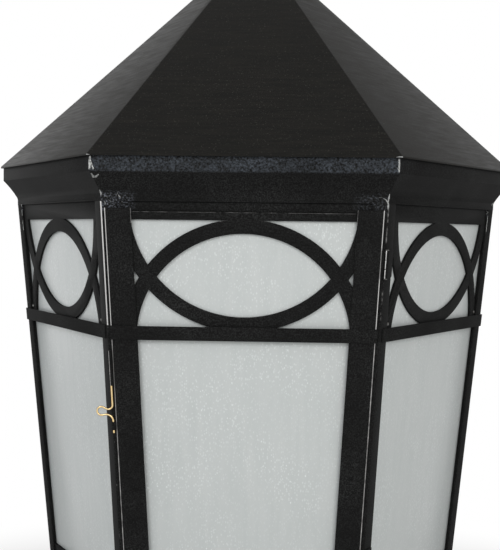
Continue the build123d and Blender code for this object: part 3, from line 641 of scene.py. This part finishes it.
# Strokes of the grinder, listed at each corner's angle. Each point has how far it lies to the right
# of the corner, seen from outside, its height and the stroke's width there, in mm.
STROKES = {
    FRONT_LEFT: (
        ((0.9, 616.0, 1.4), (0.6, 611.0, 2.2), (0.4, 603.2, 1.8)),
        ((-0.6, 617.4, 0.5), (0.01, 617.6, 1.2), (2.6, 617.2, 0.4)),
        ((1.0, 613.5, 0.8), (2.4, 608.0, 1.6), (4.3, 603.2, 1.4)),
        ((0.6, 599.6, 1.0), (1.0, 596.0, 2.6), (3.4, 596.4, 2.4), (7.6, 598.6, 0.8)),
        ((0.6, 583.8, 0.6), (0.8, 580.5, 1.7), (0.7, 578.2, 0.6)),
        ((3.6, 576.4, 0.3), (5.6, 577.8, 0.6), (7.6, 576.2, 0.3)),
        ((4.4, 572.8, 0.4), (4.8, 570.6, 0.8), (4.5, 569.0, 0.4)),
        ((15.4, 577.6, 0.3), (17.2, 580.6, 0.6), (18.4, 582.4, 0.3)),
        ((17.8, 579.0, 0.6), (20.0, 576.4, 1.3), (21.6, 572.0, 0.7)),
        ((8.2, 574.2, 0.3), (10.4, 572.6, 0.6), (11.4, 571.8, 0.3)),
    ),
    FRONT_RIGHT: (
        ((-0.9, 616.0, 1.2), (-0.8, 610.0, 1.6), (-0.9, 603.0, 1.1)),
        ((-5.8, 617.4, 0.4), (-2.6, 617.7, 1.0), (-0.01, 617.7, 1.2), (1.2, 617.4, 0.4)),
        ((-3.0, 607.6, 0.3), (-2.0, 606.0, 0.7), (-1.0, 604.6, 0.3)),
        ((-10.2, 579.0, 0.3), (-8.4, 579.2, 0.6), (-6.6, 579.0, 0.3)),
        ((-5.8, 578.4, 0.4), (-3.4, 577.2, 1.0), (-1.0, 573.8, 1.5), (-0.9, 567.6, 1.3)),
        ((-0.5, 582.6, 0.6), (-0.4, 578.6, 1.5), (-1.2, 574.4, 0.9)),
    ),
    FAR_RIGHT: (
        ((-17.0, 572.0, 0.5), (-15.8, 570.2, 1.3), (-16.6, 567.8, 0.6)),
        ((-16.0, 566.0, 0.3), (-16.0, 557.0, 0.6), (-16.0, 547.0, 0.3)),
    ),
    FAR_LEFT: (
        ((15.6, 573.6, 0.4), (15.4, 572.0, 0.7), (15.8, 570.6, 0.4)),
        ((15.6, 567.4, 0.7), (15.4, 563.8, 1.6), (15.6, 560.4, 0.9)),
        ((16.2, 554.6, 0.3), (15.0, 551.6, 0.7), (16.0, 548.4, 0.5), (15.2, 545.4, 0.7), (16.2, 543.0, 0.3)),
    ),
}

# Lowest and highest points of a seam's runs on the fascia and on the neck, in mm.
SEAM_RUNS = ((603.5, 615.6), (577.0, 583.5))


def seam_strokes(dice):
    """Random strokes of a ground seam, in broken runs down a corner at the side or the back."""
    strokes = []
    for low, high in SEAM_RUNS:
        lean = dice.uniform(-0.6, 0.6)
        side = dice.choice((-1, 1))
        middle = dice.uniform(low + 2, high - 2)
        strokes.append(((side * 0.8, high, 0.7), (side * 0.8 + lean, middle, 1.8), (side * 0.8, low, 0.8)))
        start = side * dice.uniform(2.0, 5.0)
        end = start + 4 * side
        strokes.append(((start, middle + 2, 0.3), (start + 2 * side, middle, 0.9), (end, middle - 2, 0.3)))
    return strokes


def landing(surface, corner, across, height):
    """Where a place beside a corner lies on the lantern's outside, and the surface's direction there."""
    side = 1 if across > 0 else -1
    out = heading(corner + side * FACE_TURN / 2)
    along = heading(corner + side * FACE_TURN / 2 + 90)
    level = max(height, NECK_FOOT + 0.5 * MM)
    middle = surface.ray_cast(out * OUTSIDE + Vector((0, 0, level)), -out)[0]
    half = middle.dot(out) * math.tan(math.radians(FACE_TURN / 2))
    start = out * OUTSIDE - along * side * (half - abs(across)) + Vector((0, 0, height))
    return surface.ray_cast(start, -out)[:2]


def add_stroke(mesh, surface, corner, points):
    """One low, tapering ridge of ground weld along a few points."""
    rings = []
    spots = [landing(surface, corner, across * MM, height * MM) for across, height, width in points]
    for index, (spot, normal) in enumerate(spots):
        before = spots[max(index - 1, 0)][0]
        after = spots[min(index + 1, len(spots) - 1)][0]
        across = normal.cross((after - before).normalized()).normalized()
        half = points[index][2] * MM / 2
        rise = normal * sizes().weld_height
        corners = (spot - across * half, spot + rise, spot + across * half, spot - rise)
        rings.append([mesh.verts.new(corner_place) for corner_place in corners])
    for first, second in zip(rings, rings[1:]):
        for index in range(4):
            after = (index + 1) % 4
            mesh.faces.new((first[index], first[after], second[after], second[index]))
    mesh.faces.new(rings[0][::-1])
    mesh.faces.new(rings[-1])


# ---------------------------------------------------------------- operators

class LANTERN_OT_roof(bpy.types.Operator):
    """Roof shell, cap and finial in satin enamel"""
    bl_idname = "lantern.roof"
    bl_label = "Roof"

    def execute(self, context):
        rounded("roof_shell", "enamel", sizes().fold_round, ROOF_WEAR, ring=True)
        rounded("roof_apex_cap", "enamel", sizes().sheet_round, ROOF_WEAR)
        plain("finial", "enamel")
        for node in ("finial_stud", "finial_nut", "roof_brackets", "roof_screws"):
            plain(node, "zinc")
        return {"FINISHED"}


class LANTERN_OT_cornice(bpy.types.Operator):
    """Cornice of neck, cove and fascia, with its ground welds"""
    bl_idname = "lantern.cornice"
    bl_label = "Cornice"

    def execute(self, context):
        rounded("cornice_moulding", "lit_mottled_coat", sizes().sheet_round, SHEET_WEAR, ring=True)
        surface = BVHTree.FromBMesh(self.outside())
        mesh = bmesh.new()
        dice = random.Random(WELD_SEED)
        for index in range(SIDES):
            corner = FACE_TURN * index + FRONT_LEFT
            strokes = STROKES.get(corner, ())
            if corner not in (FRONT_LEFT, FRONT_RIGHT):
                strokes = list(strokes) + seam_strokes(dice)
            for points in strokes:
                add_stroke(mesh, surface, corner, points)
        bmesh.ops.recalc_face_normals(mesh, faces=mesh.faces)
        dress("ground_welds", mesh, "weld", body_of("cornice_moulding"))
        return {"FINISHED"}

    def outside(self):
        """The fixed pieces round the lantern's shoulder, as one mesh."""
        shoulder = bmesh.new()
        posts = [f"corner_post_{corner}" for corner in range(1, SIDES + 1)]
        panels = [f"tracery_panel_{face}" for face in range(1, SIDES)]
        for node in ["roof_shell", "cornice_moulding", "top_ring", "door_header"] + posts + panels:
            shoulder.from_mesh(frame["nodes"][node].data)
        return shoulder


class LANTERN_OT_frame(bpy.types.Operator):
    """Rings, corner posts, tracery, bands and rivets of the body"""
    bl_idname = "lantern.frame"
    bl_label = "Frame"

    def execute(self, context):
        rounded("top_ring", "lit_mottled_coat", sizes().sheet_round, SHEET_WEAR, ring=True)
        rounded("bottom_ring", "coat", sizes().sheet_round, SHEET_WEAR, ring=True)
        for number in range(1, SIDES + 1):
            self.post(number)
        for face in range(1, SIDES):
            rounded(f"tracery_panel_{face}", "coat", sizes().sheet_round, SHEET_WEAR)
            rounded(f"mid_band_{face}", "coat", sizes().bar_round, BAR_WEAR)
        rounded("door_header", "lit_mottled_coat", sizes().sheet_round, SHEET_WEAR)
        rounded("door_sill", "coat", sizes().sheet_round, SHEET_WEAR)
        plain("tracery_rivets", "dull_plate")
        plain("glass_clips", "zinc")
        return {"FINISHED"}

    def post(self, number):
        """A corner post, with its fold painted bright differently above and below the band: a painted
        highlight, partly wear.
        """
        node = f"corner_post_{number}"
        corner = heading(FACE_TURN * (number - 2))
        high, low = POST_FOLD_WEAR_AND_HIGHLIGHT.get(number, (BAR_WEAR, BAR_WEAR))
        mesh = copied(node)
        round_edges(mesh, sizes().sheet_round, BAR_WEAR)
        cut(mesh, BAND_TOP)
        mark(mesh, low, lambda face: within(face, corner, FOLD_SPREAD))
        mark(mesh, high, lambda face: within(face, corner, FOLD_SPREAD) and raised(face, BAND_TOP))
        stand_in(node, mesh, "lit_mottled_coat")


class LANTERN_OT_glass(bpy.types.Operator):
    """The six panes of white seedy glass"""
    bl_idname = "lantern.glass"
    bl_label = "Glass"

    def execute(self, context):
        for face in range(1, SIDES):
            rounded(f"glass_pane_{face}", "glass", sizes().sheet_round, NO_WEAR)
        rounded("door_glass", "glass", sizes().sheet_round, NO_WEAR)
        return {"FINISHED"}


class LANTERN_OT_door(bpy.types.Operator):
    """The door's bars, tracery, band and latch eye"""
    bl_idname = "lantern.door"
    bl_label = "Door"

    def execute(self, context):
        self.stile("door_stile_left", -1)
        self.stile("door_stile_right", 1)
        # The door tracery's upward faces are painted bright: a painted highlight from light above.
        rounded("door_tracery", "coat", sizes().sheet_round,
                lambda face: TRACERY_TOP_HIGHLIGHT if face.normal.z > UPWARD else SHEET_WEAR)
        rounded("door_mid_band", "coat", sizes().bar_round, BAR_WEAR)
        plain("door_latch_eye", "coat")
        plain("door_clips", "zinc")
        return {"FINISHED"}

    def stile(self, node, side):
        """A door stile: its outer edge is painted bright above the band, and its inner edge at the top:
        painted highlights, partly wear.
        """
        mesh = copied(node)
        round_edges(mesh, sizes().bar_round, BAR_WEAR, above=SQUARE)
        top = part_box(node)[1].z - STILE_TOP_BRIGHT_REACH
        for height in (BAND_TOP, top):
            cut(mesh, height)
        outer = Vector((side, -1, 0)).normalized()
        inner = Vector((-side, -1, 0)).normalized()
        mark(mesh, STILE_OUTER_WEAR_AND_HIGHLIGHT, lambda face: within(face, outer, CHAMFER_SPREAD))
        mark(mesh, BARE, lambda face: within(face, outer, CHAMFER_SPREAD) and raised(face, BAND_TOP))
        mark(mesh, STILE_INNER_WEAR_AND_HIGHLIGHT, lambda face: within(face, inner, CHAMFER_SPREAD) and raised(face, top))
        stand_in(node, mesh, "coat")


class LANTERN_OT_hinges(bpy.types.Operator):
    """Hinge leaves and pins"""
    bl_idname = "lantern.hinges"
    bl_label = "Hinges"

    def execute(self, context):
        for side in ("door", "body"):
            for end in ("upper", "lower"):
                self.leaf(f"hinge_{side}_leaf_{end}")
        plain("hinge_pins", "dull_plate")
        return {"FINISHED"}

    def leaf(self, node):
        """A painted hinge leaf, with its barrel painted bright down one line that faces one way: a painted
        highlight, partly wear.
        """
        joint = next(item for item in frame["joints"] if item["name"] == "door_hinge")
        start, line = Vector(joint["pos_m"]), Vector(joint["axis"])
        mesh = copied(node)
        round_edges(mesh, sizes().leaf_round, LEAF_WEAR)

        def in_highlight_stripe(face):
            away = (face.calc_center_median() - start).cross(line).length
            return away < BARREL_REACH and within(face, heading(BARREL_HIGHLIGHT_ANGLE), HIGHLIGHT_STRIPE_SPREAD)

        mark(mesh, BARREL_WEAR_AND_HIGHLIGHT, in_highlight_stripe)
        stand_in(node, mesh, "coat")


class LANTERN_OT_latch(bpy.types.Operator):
    """Brass latch wire and its sleeve"""
    bl_idname = "lantern.latch"
    bl_label = "Latch"

    def execute(self, context):
        plain("latch_wire", "brass")
        mesh = copied("latch_sleeve")
        # A painted highlight: bare steel down the side of the sleeve that faces one way, where light catches
        # it.
        mark(mesh, SLEEVE_HIGHLIGHT, lambda face: within(face, heading(SLEEVE_HIGHLIGHT_ANGLE), HIGHLIGHT_STRIPE_SPREAD))
        stand_in("latch_sleeve", mesh, "coat")
        return {"FINISHED"}


class LANTERN_OT_base(bpy.types.Operator):
    """Base pan, post fitter and its screws, and the lamp's tray"""
    bl_idname = "lantern.base"
    bl_label = "Base"

    def execute(self, context):
        rounded("base_pan", "coat", sizes().sheet_round, SHEET_WEAR, ring=True)
        for node in ("post_fitter", "fitter_flange", "lamp_tray"):
            plain(node, "coat")
        plain("fitter_set_screws", "zinc")
        return {"FINISHED"}


class LANTERN_OT_lamp(bpy.types.Operator):
    """Lamp, socket, cup and stem"""
    bl_idname = "lantern.lamp"
    bl_label = "Lamp"

    def execute(self, context):
        for node in ("lamp_stem", "stem_nuts", "socket_cup"):
            plain(node, "zinc")
        plain("lamp_socket", "ceramic")
        plain("lamp_bulb", "bulb")
        return {"FINISHED"}


# The camera's place, its turns in radians, its focal length and the photograph's height in pixels, the
# sensor in millimetres, and the nearest distance it shows.
CAMERA_PLACE = (0.05279, -1.38208, 0.54462)
CAMERA_TURN = (0.0405, 0.0377, 0.0118)
PICTURE_FOCAL = 1156.75
PICTURE_HEIGHT = 550
SENSOR = 36.0
NEAREST = 0.05

# The floor's radius, the points round it, how far it lies under the fitter, and where it fades to white.
FLOOR_RADIUS = 3.0
FLOOR_POINTS = 96
FLOOR_DROP = 0.5 * MM
FADE_START = 0.35
FADE_END = 0.85

# The backdrop is seen as white, and lights the lantern with about half of that.
WHITE = (1.0, 1.0, 1.0, 1.0)
BACKDROP_LIGHT = 0.55

# Soft lights: name, place, size, power in watts and tint. They face the lantern's middle.
LIGHTS = (
    ("left_softbox", (-1.3, -2.5, 1.8), 1.4, 21.0, (1.0, 1.0, 1.0)),
    ("right_softbox", (1.2, -2.6, 1.5), 1.4, 21.0, (1.0, 0.985, 0.94)),
    ("left_card", (-2.2, 1.9, 0.7), 2.0, 8.0, (1.0, 1.0, 1.0)),
)
LANTERN_MIDDLE = Vector((0, 0, 0.5))


class LANTERN_OT_stage(bpy.types.Operator):
    """Pale floor, white backdrop, soft lights and the camera"""
    bl_idname = "lantern.stage"
    bl_label = "Stage"

    def seen(self, tree):
        """Whether a ray comes from the camera, a gloss or a glass, which all see the backdrop white."""
        paths = add(tree, "LightPath", {}, {}).outputs
        through = sums(tree, "MAXIMUM", paths["Is Glossy Ray"], paths["Is Transmission Ray"])
        return sums(tree, "MAXIMUM", paths["Is Camera Ray"], through)

    def floor(self):
        """A pale floor that keeps the lantern's shadow and fades to white further out."""
        mesh = bmesh.new()
        bmesh.ops.create_circle(mesh, cap_ends=True, segments=FLOOR_POINTS, radius=FLOOR_RADIUS)
        data = bpy.data.meshes.new("studio_floor")
        mesh.to_mesh(data)
        mesh.free()
        made, tree, shader = material("pale_floor", Base_Color=shade("floor"), Roughness=0.9,
                                      Specular_IOR_Level=0.0)
        where = add(tree, "TexCoord", {}, {}).outputs["Object"]
        far = add(tree, "VectorMath", {"operation": "LENGTH"}, {0: where}).outputs["Value"]
        fade = add(tree, "MapRange", {"interpolation_type": "SMOOTHSTEP"},
                   {0: far, 1: FADE_START, 2: FADE_END}).outputs[0]
        white = add(tree, "Emission", {}, {"Color": WHITE, "Strength": 1.0})
        share = product(tree, fade, self.seen(tree))
        mixed = add(tree, "MixShader", {}, {0: share, 1: shader.outputs[0], 2: white.outputs[0]})
        tree.links.new(mixed.outputs[0], tree.nodes["Material Output"].inputs["Surface"])
        data.materials.append(made)
        floor = bpy.data.objects.new("studio_floor", data)
        floor.location.z = -FLOOR_DROP
        bpy.context.scene.collection.objects.link(floor)

    def world(self):
        """A backdrop that lights softly and is seen as white."""
        world = bpy.data.worlds.new("studio")
        bpy.context.scene.world = world
        world.use_nodes = True
        tree = world.node_tree
        soft = add(tree, "Background", {}, {"Color": WHITE, "Strength": BACKDROP_LIGHT})
        white = add(tree, "Background", {}, {"Color": WHITE, "Strength": 1.0})
        mixed = add(tree, "MixShader", {}, {0: self.seen(tree), 1: soft.outputs[0], 2: white.outputs[0]})
        tree.links.new(mixed.outputs[0], tree.nodes["World Output"].inputs["Surface"])

    def lights(self):
        """Square soft lights."""
        for name, spot, size, power, tint in LIGHTS:
            lamp = bpy.data.lights.new(name, "AREA")
            lamp.size = size
            lamp.energy = power
            lamp.color = tint
            made = bpy.data.objects.new(name, lamp)
            made.location = spot
            aim = LANTERN_MIDDLE - Vector(spot)
            made.rotation_mode = "QUATERNION"
            made.rotation_quaternion = aim.to_track_quat("-Z", "Y")
            bpy.context.scene.collection.objects.link(made)

    def camera(self):
        """The photograph's camera: it yaws about the upright, then pitches and rolls about its own axes."""
        yaw, pitch, roll = CAMERA_TURN
        # The picture's axes point right, down and away.
        to_view = Matrix(((1, 0, 0), (0, 0, -1), (0, 1, 0)))
        turned = (Matrix.Rotation(roll, 3, "Z") @ Matrix.Rotation(pitch, 3, "X") @ to_view
                  @ Matrix.Rotation(yaw, 3, "Z").transposed())
        lens = bpy.data.cameras.new("camera")
        lens.sensor_width = SENSOR
        lens.lens = SENSOR * PICTURE_FOCAL / PICTURE_HEIGHT
        lens.clip_start = NEAREST
        made = bpy.data.objects.new("camera", lens)
        axes = Matrix((turned[0], -turned[1], -turned[2])).transposed()
        made.matrix_world = Matrix.Translation(CAMERA_PLACE) @ axes.to_4x4()
        bpy.context.scene.collection.objects.link(made)
        bpy.context.scene.camera = made

    def execute(self, context):
        self.floor()
        self.world()
        self.lights()
        self.camera()
        context.scene.view_settings.view_transform = "Standard"
        return {"FINISHED"}


STEPS = (LANTERN_OT_stage, LANTERN_OT_roof, LANTERN_OT_cornice, LANTERN_OT_frame, LANTERN_OT_glass,
         LANTERN_OT_door, LANTERN_OT_hinges, LANTERN_OT_latch, LANTERN_OT_base, LANTERN_OT_lamp)


class LANTERN_PT_panel(bpy.types.Panel):
    """The lantern's sizes, colours and steps"""
    bl_label = "Post top lantern"
    bl_idname = "LANTERN_PT_panel"
    bl_space_type = "VIEW_3D"
    bl_region_type = "UI"
    bl_category = "Lantern"

    def draw(self, context):
        for group in (sizes(), colours()):
            box = self.layout.box()
            for name in group.__annotations__:
                box.prop(group, name)
        for step in STEPS:
            self.layout.operator(step.bl_idname)


CLASSES = (LanternSizes, LanternColours) + STEPS + (LANTERN_PT_panel,)


def register():
    for item in CLASSES:
        bpy.utils.register_class(item)
    bpy.types.Scene.lantern_sizes = bpy.props.PointerProperty(type=LanternSizes)
    bpy.types.Scene.lantern_colours = bpy.props.PointerProperty(type=LanternColours)


def unregister():
    del bpy.types.Scene.lantern_colours
    del bpy.types.Scene.lantern_sizes
    for item in reversed(CLASSES):
        bpy.utils.unregister_class(item)


def main():
    """Makes the lantern step by step."""
    register()
    for step in STEPS:
        group, name = step.bl_idname.split(".")
        getattr(getattr(bpy.ops, group), name)()


if __name__ == "__main__":
    main()
